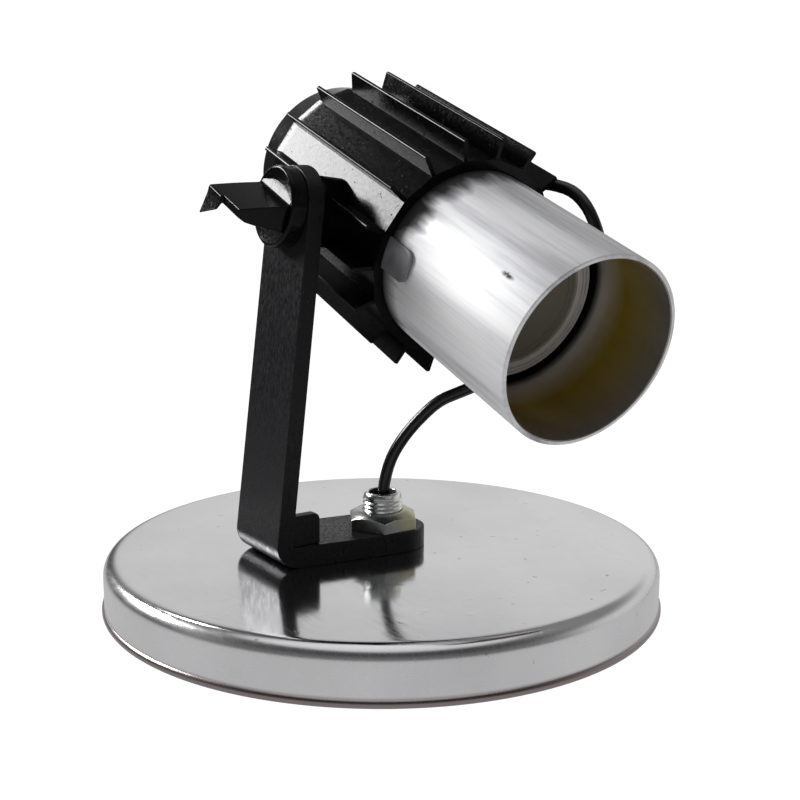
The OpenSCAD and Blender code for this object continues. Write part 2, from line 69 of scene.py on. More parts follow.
# %% Camera
MM = 0.001
CAMERA_AT = Vector((-218.84, -333.27, 142.81)) * MM
CAMERA_RIGHT = Vector((0.8286, -0.5598, 0.0047))
CAMERA_UP = Vector((0.1029, 0.1606, 0.9816))
CAMERA_BACK = Vector((-0.5503, -0.8129, 0.1907))
FILM_WIDTH = 36
FOCAL_LENGTH = 56.61
camera = bpy.data.objects.new("camera", bpy.data.cameras.new("camera"))
scene.collection.objects.link(camera)
camera_turn = Matrix((CAMERA_RIGHT, CAMERA_UP, CAMERA_BACK)).transposed().to_4x4()
camera.matrix_world = Matrix.Translation(CAMERA_AT) @ camera_turn
camera.data.sensor_width = FILM_WIDTH
camera.data.lens = FOCAL_LENGTH
camera.data.clip_start = 10 * MM
scene.camera = camera
print("camera at", [round(v, 3) for v in CAMERA_AT])

# %% [markdown]
# Three parts of the lamp have a frame of their own: the head, which leans with the arm and tilts down, the
# wing screw and the base. A piece is drawn upright in millimetres and then carried into its place by one
# matrix, so its numbers stay as easy to read as on a drawing. The joints of the frame say where the head and
# the wing screw sit, and the head's axis is its own Z.

# %% Places of the head and the wing screw
LEAN = radians(7)
TILT = radians(19)
WING_TURN = radians(20)
joint_at = {j["name"]: Vector([v / MM for v in j["pos_m"]]) for j in frame["joints"]}
HEAD = joint_at["tilt"]  # on the head's axis
PIVOT = joint_at["wing_turn"]  # on the outer face of the arm
head_turn = Matrix.Rotation(LEAN, 4, "Y") @ Matrix.Rotation(pi / 2 + TILT, 4, "X")
head_place = Matrix.Translation(HEAD * MM) @ head_turn
across, above, ahead = (head_turn.to_3x3().col[i].copy() for i in range(3))
grip_turn = Matrix.Rotation(LEAN, 4, "Y") @ Matrix.Rotation(WING_TURN, 4, "X")
grip_place = Matrix.Translation(PIVOT * MM) @ grip_turn @ Matrix.Rotation(-pi / 2, 4, "Y")
print("the head looks along", [round(v, 3) for v in ahead])

# %% [markdown]
# The flex is a limp round lead, 4 mm thick. It leaves a spout beside the fins on the far side of the head,
# drops behind the tube and comes back in a sagging bow to the hollow nipple in the base. Both ends show, and
# the tube hides a stretch in between. A smooth curve through a few stations gives the route, and the curve
# object's round bevel gives the tube, which becomes a mesh.

# %% Route of the flex
def at_head(along, radius, turn):
    """A point beside the head: distance ahead of the pivot, radius and angle about the head's axis."""
    a = radians(turn)
    return HEAD + along * ahead + radius * (cos(a) * across + sin(a) * above)


stations = [
    at_head(9.35, 35.8, 40), at_head(13.2, 35.8, 40), at_head(18.2, 36.6, 40.5), at_head(25.2, 38.6, 42.5),
    HEAD + Vector((32, -40, 11)), HEAD + Vector((33, -46, 6.5)), HEAD + Vector((33.5, -50.5, -0.5)),
    HEAD + Vector((34, -52.5, -8.5)), HEAD + Vector((33.5, -52, -16.5)), HEAD + Vector((32, -50, -24)),
    HEAD + Vector((29, -46.5, -31)),
    Vector((43, -34, 84)), Vector((33, -24.5, 75.5)), Vector((21.5, -14.5, 68.5)), Vector((15.5, -10, 65)),
    Vector((10.5, -6.5, 59.5)), Vector((6, -3.5, 53)), Vector((2.5, -1.5, 46)), Vector((0.5, -0.5, 38)),
    Vector((0, 0, 30)), Vector((0, 0, 21)), Vector((0, 0, 9.8)),
]


def smooth_route(points, steps):
    """A curve through the points, as the part's source draws it."""
    ends = [2 * points[0] - points[1]] + points + [2 * points[-1] - points[-2]]
    route = []
    for i in range(len(points) - 1):
        a, b, c, d = ends[i:i + 4]
        for k in range(steps):
            t = k / steps
            route.append(0.5 * (2 * b + (c - a) * t + (2 * a - 5 * b + 4 * c - d) * t ** 2
                                + (3 * b - a - 3 * c + d) * t ** 3))
    return route + [points[-1]]


flex_route = [p * MM for p in smooth_route(stations, 3)]

# %% Flex
line = bpy.data.curves.new("flex_line", "CURVE")
line.dimensions = "3D"
line.bevel_depth = 2 * MM
line.bevel_resolution = 3
line.use_fill_caps = True
strand = line.splines.new("POLY")
strand.points.add(len(flex_route) - 1)
for knot, p in zip(strand.points, flex_route):
    knot.co = (*p, 1)
line_object = bpy.data.objects.new("flex_line", line)
scene.collection.objects.link(line_object)
rounded = line_object.evaluated_get(bpy.context.evaluated_depsgraph_get())
flex_mesh = bpy.data.meshes.new_from_object(rounded)
bpy.data.objects.remove(line_object)
flex_mesh.shade_smooth()
flex_mesh.set_sharp_from_angle(angle=radians(50))
flex = bpy.data.objects.new("flex_lead", flex_mesh)
scene.collection.objects.link(flex)
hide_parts("flex")
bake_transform(flex)
print("flex faces:", len(flex_mesh.polygons))

# %% [markdown]
# The stage is a plain pale sheet without an edge in view. The light is soft: a broad window behind the lamp
# on its left, which draws the bright flat along the housing and the lines on the fins, a small high pane,
# and an even sky with pale walls and a bright ceiling. Floor and sky are paler for the camera than for the
# reflections, so the background stays clean while the black plastic stays black.

# %% Helpers for the stage
PAPER_WHITE = (1.05, 1.05, 1.05, 1)


def shade(tree, value, span, tones, step="SMOOTHSTEP"):
    """A step from one tone to another while the value goes through the span, soft unless told otherwise."""
    n = tree.nodes.new("ShaderNodeMapRange")
    n.interpolation_type = step
    for key, v in zip(("From Min", "From Max", "To Min", "To Max"), (*span, *tones)):
        n.inputs[key].default_value = v
    tree.links.new(value, n.inputs["Value"])
    return n.outputs[0]


def facing(tree, vector, direction):
    """How far a vector runs along the direction given."""
    n = tree.nodes.new("ShaderNodeVectorMath")
    n.operation = "DOT_PRODUCT"
    tree.links.new(vector, n.inputs[0])
    n.inputs[1].default_value = direction
    return n.outputs["Value"]


def combine(tree, kind, a, b, clamp=False):
    """Two values added, subtracted or multiplied, kept between 0 and 1 if asked for."""
    n = tree.nodes.new("ShaderNodeMath")
    n.operation = kind
    n.use_clamp = clamp
    tree.links.new(a, n.inputs[0])
    tree.links.new(b, n.inputs[1])
    return n.outputs[0]


def white_or(tree, tone):
    """White to the camera, and a grey of the given tone to light and reflections."""
    grey = tree.nodes.new("ShaderNodeCombineColor")
    for slot in range(3):
        tree.links.new(tone, grey.inputs[slot])
    pick = tree.nodes.new("ShaderNodeMix")
    pick.data_type = "RGBA"
    tree.links.new(tree.nodes.new("ShaderNodeLightPath").outputs["Is Camera Ray"], pick.inputs[0])
    tree.links.new(grey.outputs[0], pick.inputs[6])
    pick.inputs[7].default_value = PAPER_WHITE
    return pick.outputs[2]


print("the camera sees the stage as", PAPER_WHITE[0])

# %% Floor
FLOOR_HALF = 12
FLOOR_BACK_LEFT = (-0.6, 0.8, 0.0)
FLOOR_BACK_RIGHT = (0.5, 0.85, 0.0)
paper = bpy.data.materials.new("floor_paper")
paper.use_nodes = True
tree = paper.node_tree
tree.nodes.clear()
spot = tree.nodes.new("ShaderNodeTexCoord").outputs["Object"]
back_left = shade(tree, facing(tree, spot, FLOOR_BACK_LEFT), (0.07, 0.3), (0.56, 0.32))
back_right = shade(tree, facing(tree, spot, FLOOR_BACK_RIGHT), (0.2, 0.33), (1.0, 0.12))
glow = tree.nodes.new("ShaderNodeEmission")
tree.links.new(white_or(tree, combine(tree, "MULTIPLY", back_left, back_right)), glow.inputs[0])
tree.links.new(glow.outputs[0], tree.nodes.new("ShaderNodeOutputMaterial").inputs[0])
bm = bmesh.new()
bmesh.ops.create_grid(bm, x_segments=1, y_segments=1, size=FLOOR_HALF)
sheet = bpy.data.meshes.new("floor")
bm.to_mesh(sheet)
bm.free()
sheet.materials.append(paper)
floor = bpy.data.objects.new("floor", sheet)
scene.collection.objects.link(floor)
print("floor", len(sheet.polygons), "face")

# %% Sky
SKY_UP = (0.0, 0.0, 1.0)
SKY_FRONT = (-0.55, -0.83, 0.0)
SKY_BACK_LEFT = (-0.42, 0.91, 0.0)
SKY_HIGH_BACK = (0.0, 0.64, 0.77)
world = bpy.data.worlds.new("sky")
scene.world = world
world.use_nodes = True
tree = world.node_tree
where = tree.nodes.new("ShaderNodeTexCoord").outputs["Generated"]
height = facing(tree, where, SKY_UP)
front = shade(tree, facing(tree, where, SKY_FRONT), (-0.2, 0.5), (1.0, 0.2))
wall_ends = shade(tree, facing(tree, where, SKY_BACK_LEFT), (0.62, 0.86), (1.0, 0.0))
wall_tone = shade(tree, height, (0.28, 0.6), (0.58, 0.0))
pale_walls = combine(tree, "MULTIPLY", wall_ends, wall_tone)
dim_back = shade(tree, facing(tree, where, SKY_HIGH_BACK), (0.88, 0.98), (1.0, 0.45))
dome = combine(tree, "MULTIPLY", shade(tree, height, (0.05, 0.62), (0.06, 0.22)), dim_back)
around = combine(tree, "MULTIPLY", combine(tree, "ADD", pale_walls, dome), front)
ceiling = shade(tree, height, (0.8, 0.93), (0.0, 0.62))
sky_tone = combine(tree, "ADD", around, ceiling)
tree.links.new(white_or(tree, sky_tone), tree.nodes["Background"].inputs[0])
print("sky nodes:", len(tree.nodes))

# %% Lights
LIGHT_TARGET = Vector((0, 0, 0.13))


def panel(name, at, wide, high, watts):
    """A soft area light that faces the head."""
    lamp = bpy.data.lights.new(name, "AREA")
    lamp.shape = "RECTANGLE"
    lamp.size, lamp.size_y, lamp.energy = wide, high, watts
    holder = bpy.data.objects.new(name, lamp)
    scene.collection.objects.link(holder)
    aim = (LIGHT_TARGET - Vector(at)).to_track_quat("-Z", "Y").to_matrix().to_4x4()
    holder.matrix_world = Matrix.Translation(at) @ aim


panel("window", at=(-0.486, 0.809, 0.59), wide=0.48, high=0.24, watts=8.4)
panel("high_pane", at=(-0.07, 0.8, 0.805), wide=0.12, high=0.1, watts=1.0)
scene.view_settings.view_transform = "Standard"

# %% [markdown]
# Every finish is a small node tree, and a few helpers keep the trees short to read: one adds a node and
# fills in its settings, one joins two sockets, one starts a finish. Patterns read Object coordinates, which
# are the frame's own metres, because each piece's place is in its mesh. A Mapping node turns them into the
# head's frame where a pattern follows the head's axis.

# %% Helpers for finishes
def start_finish(name, colour, rough, metal=0.0):
    m = bpy.data.materials.new(name)
    m.use_nodes = True
    b = m.node_tree.nodes["Principled BSDF"]
    b.inputs["Base Color"].default_value = (*colour, 1)
    b.inputs["Roughness"].default_value = rough
    b.inputs["Metallic"].default_value = metal
    return m, b


def add(m, kind, **settings):
    """A new node, its settings given by the names of its properties or sockets."""
    n = m.node_tree.nodes.new(kind)
    for key, value in settings.items():
        if hasattr(n, key):
            setattr(n, key, value)
        else:
            n.inputs[key].default_value = value
    return n


def join(m, source, target):
    m.node_tree.links.new(source, target)


def coordinates(m, stretch=(1, 1, 1), in_head=False):
    """Object coordinates, in the head's frame if asked for, each axis multiplied by stretch."""
    out = add(m, "ShaderNodeTexCoord").outputs["Object"]
    if in_head:
        level = head_place.inverted()
        turn = add(m, "ShaderNodeMapping", vector_type="POINT")
        turn.inputs["Rotation"].default_value = level.to_euler("XYZ")
        turn.inputs["Location"].default_value = level.translation
        join(m, out, turn.inputs["Vector"])
        out = turn.outputs[0]
    pull = add(m, "ShaderNodeMapping", vector_type="POINT")
    pull.inputs["Scale"].default_value = stretch
    join(m, out, pull.inputs["Vector"])
    return pull.outputs[0]


def split(m, vector):
    """The X, Y and Z of a vector, by name."""
    n = add(m, "ShaderNodeSeparateXYZ")
    join(m, vector, n.inputs[0])
    return n.outputs


def noise(m, vector, scale, detail, rough=0.5):
    n = add(m, "ShaderNodeTexNoise", Scale=scale, Detail=detail, Roughness=rough)
    join(m, vector, n.inputs["Vector"])
    return n.outputs[0]


def ramp_of(m, value, *stops):
    """Turns a pattern's value into a colour through stops of (position, colour)."""
    n = add(m, "ShaderNodeValToRGB")
    spots = n.color_ramp.elements
    while len(spots) < len(stops):
        spots.new(0.5)
    for spot, (place, colour) in zip(spots, stops):
        spot.position = place
        spot.color = (*colour, 1)
    join(m, value, n.inputs[0])
    return n.outputs[0]


def spread(m, value, to, span=(0.3, 0.7)):
    """Carries a value evenly from a span, which is the middle of a noise if none is given, to a new range."""
    return shade(m.node_tree, value, span, to, "LINEAR")


def bump(m, shader, height, distance, strength):
    n = add(m, "ShaderNodeBump", Strength=strength, Distance=distance)
    join(m, height, n.inputs["Height"])
    join(m, n.outputs[0], shader.inputs["Normal"])


def blend_colours(m, fac, a, b, kind="MIX"):
    """Mixes two colour sockets or plain colours by a value socket or number."""
    n = add(m, "ShaderNodeMix", data_type="RGBA", blend_type=kind)
    for slot, v in ((0, fac), (6, a), (7, b)):
        if hasattr(v, "is_linked"):
            join(m, v, n.inputs[slot])
        else:
            n.inputs[slot].default_value = v if slot == 0 else (*v, 1)
    return n.outputs[2]


print("patterns on the head are turned by", [round(v, 3) for v in head_place.inverted().to_euler("XYZ")])

# %% [markdown]
# The dish is spun aluminium that has seen some use. It mirrors the arm and the walls, a little hazed, with
# fine scuffs, dark marks and shallow dents. Noise at different scales gives each of them, so no picture is
# needed and nothing repeats. The skirt is duller than the top, and the rolled bead is darkened with painted
# shade, tinted brown, where it meets the floor; both go by height.

# %% Finish of the dish
def dish_finish():
    m, b = start_finish("spun_aluminium", (0.8, 0.8, 0.81), 0.12, 1.0)
    flat = coordinates(m)
    height = split(m, flat)["Z"]
    haze = noise(m, flat, 22, 4)
    tone = ramp_of(m, haze, (0.3, (0.72, 0.715, 0.73)), (0.7, (0.84, 0.835, 0.85)))
    marks = ramp_of(m, noise(m, flat, 330, 2), (0.23, (0.62, 0.6, 0.58)), (0.27, (1, 1, 1)))
    tone = blend_colours(m, 1.0, tone, marks, "MULTIPLY")
    # Painted shade: the lowest part of the bead is darkened and tinted brown, for the shaded floor it
    # reflects by the contact.
    painted_bead_shade = spread(m, height, (1.0, 0.0), (2.2 * MM, 3.4 * MM))
    join(m, blend_colours(m, painted_bead_shade, tone, (0.3, 0.25, 0.25)), b.inputs["Base Color"])
    scuffs = noise(m, coordinates(m, (260, 45, 200)), 3, 3, 0.6)
    dull_skirt = spread(m, height, (0.16, 0.0), (15 * MM, 16.9 * MM))
    roughness = combine(m.node_tree, "ADD", spread(m, scuffs, (0.09, 0.15)), dull_skirt)
    join(m, roughness, b.inputs["Roughness"])
    dents = spread(m, noise(m, flat, 150, 2), (0.0, 1.0), (0.66, 0.74))
    bump(m, b, dents, 0.04 * MM, 0.5)
    return m


dish_metal = dish_finish()
print("finish:", dish_metal.name)

# %% [markdown]
# The tube was drawn, so its streaks run along it: a noise pattern pulled out along the head's axis makes
# them. A painted reflection of the black collar and fins darkens the tube by the collar in uneven teeth,
# which is a step along the axis whose place a second noise moves. One small dark nick sits on the left.
# Inside, a ramp along the axis paints shade and reflection: painted shade in the gap by the lamp, then a
# pale ring and an olive band that paint the reflection of the lamp's rim and face, and grey at the mouth.

# %% Finish of the tube
def tube_finish():
    m, b = start_finish("drawn_tube", (0.9, 0.9, 0.92), 0.5, 1.0)
    space = coordinates(m, in_head=True)
    streaks = noise(m, coordinates(m, (80, 80, 4.5), True), 1, 5, 0.62)
    fine = noise(m, coordinates(m, (1500, 1500, 30), True), 1, 3)
    tone = ramp_of(m, streaks, (0.36, (0.6, 0.6, 0.62)), (0.5, (0.9, 0.9, 0.92)), (0.64, (1, 1, 1)))
    lines = ramp_of(m, fine, (0.3, (0.93, 0.93, 0.94)), (0.5, (1, 1, 1)))
    tone = blend_colours(m, 1.0, tone, lines, "MULTIPLY")
    # Painted reflection: the black collar and fins mirrored in the tube, painted as a dark band in uneven
    # teeth by the collar.
    reflection_teeth = noise(m, coordinates(m, (55, 55, 12), True), 1, 4, 0.6)
    reflection_teeth = spread(m, reflection_teeth, (0.0, 15 * MM), (0.45, 0.75))
    reflection_reach = combine(m.node_tree, "SUBTRACT", split(m, space)["Z"], reflection_teeth)
    collar_reflection = spread(m, reflection_reach, (0.9, 0.0), (30.6 * MM, 38.5 * MM))
    tone = blend_colours(m, collar_reflection, tone, (0.025, 0.025, 0.028))
    nick_squeeze = 0.3
    nick = add(m, "ShaderNodeVectorMath", operation="DISTANCE")
    join(m, coordinates(m, (1, 1, nick_squeeze), True), nick.inputs[0])
    nick.inputs[1].default_value = (-25 * MM, 14.7 * MM, 81 * MM * nick_squeeze)
    nick_reach = spread(m, nick.outputs["Value"], (1.0, 0.0), (0.3 * MM, 1 * MM))
    ragged = spread(m, noise(m, space, 900, 2), (0.2, 0.95), (0.36, 0.5))
    nicked = combine(m.node_tree, "MULTIPLY", nick_reach, ragged)
    join(m, blend_colours(m, nicked, tone, (0.03, 0.03, 0.03)), b.inputs["Base Color"])
    join(m, spread(m, streaks, (0.78, 0.68)), b.inputs["Roughness"])
    bump(m, b, fine, 0.01 * MM, 0.4)
    return m


def tube_inner_finish():
    m, b = start_finish("tube_inside", (0.45, 0.43, 0.4), 0.3, 0.6)
    along = spread(m, split(m, coordinates(m, in_head=True))["Z"], (0.0, 1.0), (56 * MM, 96 * MM))
    # Painted shade and reflection: a dark band for the shade in the gap by the lamp, then pale and olive
    # bands painting the reflection of the lamp's rim and face.
    lamp_reflection_bands = ramp_of(m, along,
                   (0.13, (0.02, 0.02, 0.035)), (0.2, (0.85, 0.83, 0.85)), (0.3, (0.72, 0.64, 0.5)),
                   (0.48, (0.52, 0.37, 0.035)), (0.68, (0.5, 0.4, 0.14)), (0.95, (0.38, 0.35, 0.33)))
    streaks = noise(m, coordinates(m, (120, 120, 10), True), 1, 3)
    streak_tone = ramp_of(m, streaks, (0.3, (0.84, 0.84, 0.84)), (0.7, (0.98, 0.98, 0.98)))
    join(m, blend_colours(m, 1.0, lamp_reflection_bands, streak_tone, "MULTIPLY"), b.inputs["Base Color"])
    return m


tube_metal = tube_finish()
tube_inside = tube_inner_finish()
print("finishes:", tube_metal.name, tube_inside.name)

# %% [markdown]
# Arm, head and wing screw are black moulded plastic. Almost all that shows on such a black is its gloss, so
# the grain goes into roughness and bump, with dull specks and a little pale dust. The arm is the
# roughest and greyest of them, and the head is duller underneath.

# %% Finishes of the black plastics
def moulded_finish(name, colour, rough, gloss, dust, stretch, in_head=False):
    """Black moulded plastic, whose grain is noise on coordinates multiplied by stretch."""
    m, b = start_finish(name, colour, rough)
    b.inputs["Specular IOR Level"].default_value = gloss
    space = coordinates(m, in_head=in_head)
    lint = ramp_of(m, noise(m, space, 1100, 1), (0.69, (0, 0, 0)), (0.77, (dust, dust, dust)))
    join(m, blend_colours(m, 1.0, colour, lint, "ADD"), b.inputs["Base Color"])
    grain = noise(m, coordinates(m, stretch, in_head), 1, 2)
    specks = noise(m, space, 700, 1)
    worn = [spread(m, specks, (0.5, 0.0), (0.19, 0.29))]
    if in_head:
        worn.append(spread(m, split(m, space)["Y"], (0.75, 0.0), (-26 * MM, -14 * MM)))
    roughness = spread(m, grain, (rough * 0.6, rough * 1.5))
    for dull in worn:
        roughness = combine(m.node_tree, "ADD", roughness, dull, clamp=True)
    join(m, roughness, b.inputs["Roughness"])
    bump(m, b, grain, 0.01 * MM, 0.5)
    return m


head_plastic = moulded_finish("moulded_black", (0.004, 0.0037, 0.0045), rough=0.17, gloss=0.15, dust=0.008,
                              stretch=(1000, 1000, 1700), in_head=True)
grip_plastic = moulded_finish("grip_black", (0.005, 0.0047, 0.0055), rough=0.18, gloss=0.15, dust=0.01,
                              stretch=(1200, 1200, 1200))
arm_plastic = moulded_finish("arm_black", (0.013, 0.0124, 0.0146), rough=0.36, gloss=0.2, dust=0.025,
                             stretch=(1300, 1300, 480))
print("finishes:", head_plastic.name, grip_plastic.name, arm_plastic.name)

# %% [markdown]
# The nut and the nipple are zinc-plated, and their finish goes by X: toward +X the plate is painted lighter,
# warmer and less metallic, painted light for the bright floor that side reflects, while the other side stays
# cool and fully metallic. The other small parts share one finish whose tone and gloss wander a little,
# because a perfectly even surface looks painted.

# %% Finishes of the small parts
def zinc_finish(name, unlit_side_colour, lit_side_colour, lit_side_metallic):
    """Bright zinc plate with painted light on its +X side, which is lighter, yellower and less metallic."""
    m, b = start_finish(name, unlit_side_colour, 0.2, 1.0)
    space = coordinates(m)
    # Painted light: the +X side is lighter, yellower and less metallic, standing in for the bright floor it
    # reflects.
    side = spread(m, split(m, space)["X"], (0.0, 1.0), (-4 * MM, 3 * MM))
    join(m, blend_colours(m, side, unlit_side_colour, lit_side_colour), b.inputs["Base Color"])
    join(m, spread(m, side, (1.0, lit_side_metallic), (0.0, 1.0)), b.inputs["Metallic"])
    join(m, spread(m, noise(m, space, 500, 2), (0.2, 0.28)), b.inputs["Roughness"])
    return m


def plain_finish(name, colour, rough, metal, scale, wander):
    """A finish whose tone and gloss wander a little."""
    m, b = start_finish(name, colour, rough, metal)
    space = coordinates(m)
    drift = noise(m, space, scale, 3)
    dark = tuple(c * (1 - wander) for c in colour)
    light = tuple(min(1, c * (1 + wander)) for c in colour)
    join(m, ramp_of(m, drift, (0.3, dark), (0.7, light)), b.inputs["Base Color"])
    join(m, spread(m, drift, (rough * 0.85, rough * 1.15)), b.inputs["Roughness"])
    bump(m, b, noise(m, space, scale * 8, 2), 0.02 * MM, 0.3)
    return m


zinc = zinc_finish("zinc_plate", (0.8, 0.82, 0.81), (0.88, 0.88, 0.84), 0.9)
zinc_gold = zinc_finish("zinc_passivated", (0.5, 0.51, 0.5), (0.74, 0.705, 0.48), 0.4)
clip_steel = plain_finish("clip_steel", (0.26, 0.26, 0.28), 0.5, 0.5, 300, 0.12)
flex_sheath = plain_finish("flex_sheath", (0.01, 0.01, 0.011), 0.25, 0.0, 200, 0.3)
rubber = plain_finish("black_rubber", (0.015, 0.015, 0.015), 0.7, 0.0, 300, 0.3)
foam = plain_finish("pad_foam", (0.05, 0.05, 0.05), 0.9, 0.0, 500, 0.4)
bezel_grey = plain_finish("bezel_grey", (0.6, 0.57, 0.57), 0.4, 0.0, 200, 0.08)
lens_grey = plain_finish("lens_grey", (0.2, 0.185, 0.168), 0.35, 0.0, 120, 0.05)
shell_grey = plain_finish("lamp_shell", (0.45, 0.45, 0.44), 0.5, 0.0, 200, 0.1)
ceramic = plain_finish("holder_ceramic", (0.75, 0.73, 0.66), 0.5, 0.0, 300, 0.06)
brass = plain_finish("contact_brass", (0.7, 0.52, 0.22), 0.3, 1.0, 300, 0.15)
wire_skin = plain_finish("wire_skin", (0.12, 0.05, 0.03), 0.4, 0.0, 300, 0.15)
print("finishes:", len(bpy.data.materials))

# %% [markdown]
# Solids that already have the right shape keep it and only take a finish. That goes for the nut under
# the base, the rubber pieces and everything inside the head.

# %% Finishes on the kept solids
kept = {
    zinc: ["lock_washer", "lock_nut", "wing_stud", "pivot_nut", "lamp_pins", "holder_bracket",
           "bracket_screws", "holder_screws"],
    rubber: ["inlet_grommet", "pivot_pad", "flex_bush"],
    foam: ["base_pad"], shell_grey: ["lamp_body"], ceramic: ["lampholder"], brass: ["holder_contacts"],
    wire_skin: ["head_wires"],
}
for material, names in kept.items():
    for name in names:
        frame["nodes"][name].data.materials.clear()
        frame["nodes"][name].data.materials.append(material)
flex.data.materials.append(flex_sheath)
print("kept solids:", sum(len(v) for v in kept.values()))

# %% [markdown]
# New pieces share a few helpers. One spins a half section round the Z axis, as a lathe does, and one rounds
# edges. The last turns a finished bmesh into a named object: it merges doubles, turns the faces outward,
# carries the drawing into its place, ties the piece to its body and hides the solid that it stands for.

# %% Helpers for pieces
SAME_POINT = 0.0005
UPRIGHT = Matrix.Identity(4)


def lathe(bm, section, steps=96, closed=True):
    """Spins a half section of (radius, height) points round the Z axis."""
    points = [bm.verts.new((r, 0, z)) for r, z in section]
    pairs = list(zip(points, points[1:])) + ([(points[-1], points[0])] if closed else [])
    edges = [bm.edges.new(p) for p in pairs]
    bmesh.ops.spin(bm, geom=points + edges, cent=(0, 0, 0), axis=(0, 0, 1), angle=2 * pi, steps=steps,
                   use_merge=True)
    bmesh.ops.remove_doubles(bm, verts=bm.verts, dist=SAME_POINT)


def arc(x, y, r, start, end, steps):
    """Points on an arc, angles in degrees."""
    turns = [radians(start + (end - start) * i / steps) for i in range(steps + 1)]
    return [(x + r * cos(a), y + r * sin(a)) for a in turns]


def round_edges(bm, edges, width, steps=2):
    """Bevels the edges and returns the new faces."""
    return bmesh.ops.bevel(bm, geom=edges, offset=width, offset_type="OFFSET", affect="EDGES",
                           segments=steps, profile=0.5, material=-1, clamp_overlap=True)["faces"]


def sharp_edges(bm, angle):
    return [e for e in bm.edges if len(e.link_faces) == 2 and e.calc_face_angle(0) > radians(angle)]


def only(kind, geom):
    """The vertices, edges or faces among mixed geometry."""
    return [g for g in geom if isinstance(g, kind)]


def box(bm, size, middle):
    """A box of the given size, returned as its vertices."""
    corners = bmesh.ops.create_cube(bm, size=1)["verts"]
    bmesh.ops.scale(bm, vec=size, verts=corners)
    bmesh.ops.translate(bm, vec=middle, verts=corners)
    return corners


def finish_piece(bm, name, place, body, slot, stands_for, *materials, crease=32, even=False):
    bmesh.ops.remove_doubles(bm, verts=bm.verts, dist=SAME_POINT)
    bmesh.ops.recalc_face_normals(bm, faces=bm.faces)
    bmesh.ops.transform(bm, matrix=place @ Matrix.Scale(MM, 4), verts=bm.verts)
    mesh = bpy.data.meshes.new(name)
    bm.to_mesh(mesh)
    bm.free()
    for material in materials:
        mesh.materials.append(material)
    mesh.shade_smooth()
    mesh.set_sharp_from_angle(angle=radians(crease))
    piece = bpy.data.objects.new(name, mesh)
    scene.collection.objects.link(piece)
    if even:
        piece.modifiers.new("even_shading", "WEIGHTED_NORMAL").keep_sharp = True
    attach(piece, body)
    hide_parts(*stands_for)
    print(name, "faces:", len(mesh.polygons))


print("points closer than", SAME_POINT, "mm are merged")

# %% [markdown]
# The dish is spun from sheet: a flat top, a generous rounding, an upright skirt and a bead rolled round the
# lower edge. A lathe section gives the whole of it, and rounding and bead are arcs on that section. The skirt
# is opened behind the rubber grommet, whose lip covers the edge of the cut: four faces are taken out and the
# two edges of the hole are bridged.

# %% Dish
BASE_TOP = 17
BASE_R = 90
SHEET = 1.2
ROUNDING = 4.5
BEAD_R = 1.4
BEAD_PROUD = 0.8
NIPPLE_HOLE_R = 6.55
INLET_HALF = 3.4
inlet = sum(corner[2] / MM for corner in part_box("inlet_grommet")) / 2
inner_r = BASE_R - SHEET
turn_r = BASE_R - ROUNDING
turn_z = BASE_TOP - ROUNDING
outside = [(r, BASE_TOP) for r in (NIPPLE_HOLE_R, 30, 60, 80, 84.5)]
outside += arc(turn_r, turn_z, ROUNDING, 88, 0, 12)
outside += [(BASE_R, inlet + INLET_HALF), (BASE_R, inlet - INLET_HALF)]
outside += arc(BASE_R + BEAD_PROUD - BEAD_R, BEAD_R, BEAD_R, 62, -150, 12)
inside = [(inner_r, z) for z in (2.2, inlet - INLET_HALF, inlet + INLET_HALF, turn_z)]
inside += arc(turn_r, turn_z, ROUNDING - SHEET, 10, 90, 4)
inside += [(r, BASE_TOP - SHEET) for r in (60, NIPPLE_HOLE_R)]
bm = bmesh.new()
lathe(bm, outside + inside, 160)
middles = [(f, f.calc_center_median()) for f in bm.faces]
opened = [f for f, c in middles
          if abs(c.x) < INLET_HALF and c.y > turn_r and abs(c.z - inlet) < INLET_HALF]
print("faces opened in the skirt at height", round(inlet, 2), "mm:", len(opened))
bmesh.ops.delete(bm, geom=opened, context="FACES")
bmesh.ops.bridge_loops(bm, edges=[e for e in bm.edges if e.is_boundary])
finish_piece(bm, "dish", UPRIGHT, "base", "base_aluminium", ["base_dish"], dish_metal)

# %% [markdown]
# The arm is one moulded L. It starts as a six-sided outline pushed out to its width. The long corners are
# then bevelled with very wide bevels, which is the quickest way to a round end: a bevel as wide as half the
# plate turns its end into a half circle. A last narrow bevel takes the edge off the corners. A rib stands
# in the bend.

# %% Arm
ARM_REACH = 43.2  # from the nipple's axis to the outer face of the upright, at the base's top
ARM_WIDTH = 28
TIP_R = 13
UPRIGHT_THICK = 5.4
FOOT_THICK = 6.5
BEND_R = 7.9
HEEL_BEVEL = 13.4
lean = tan(LEAN)
arm_middle = PIVOT.y
top = PIVOT.z - BASE_TOP + TIP_R * cos(LEAN)
level_thick = UPRIGHT_THICK / cos(LEAN)
heel = ARM_WIDTH / 2 * cos(atan(arm_middle / ARM_REACH))
outline = [(-ARM_REACH, 0), (heel, 0), (heel, FOOT_THICK),
           (-ARM_REACH + level_thick + FOOT_THICK * lean, FOOT_THICK),
           (-ARM_REACH + level_thick + top * lean, top), (-ARM_REACH + top * lean, top)]
bm = bmesh.new()
front_y = arm_middle - ARM_WIDTH / 2
side = bm.faces.new([bm.verts.new((x, front_y, BASE_TOP + z)) for x, z in outline])
grown = bmesh.ops.extrude_face_region(bm, geom=[side])["geom"]
bmesh.ops.translate(bm, verts=only(BMVert, grown), vec=(0, ARM_WIDTH, 0))
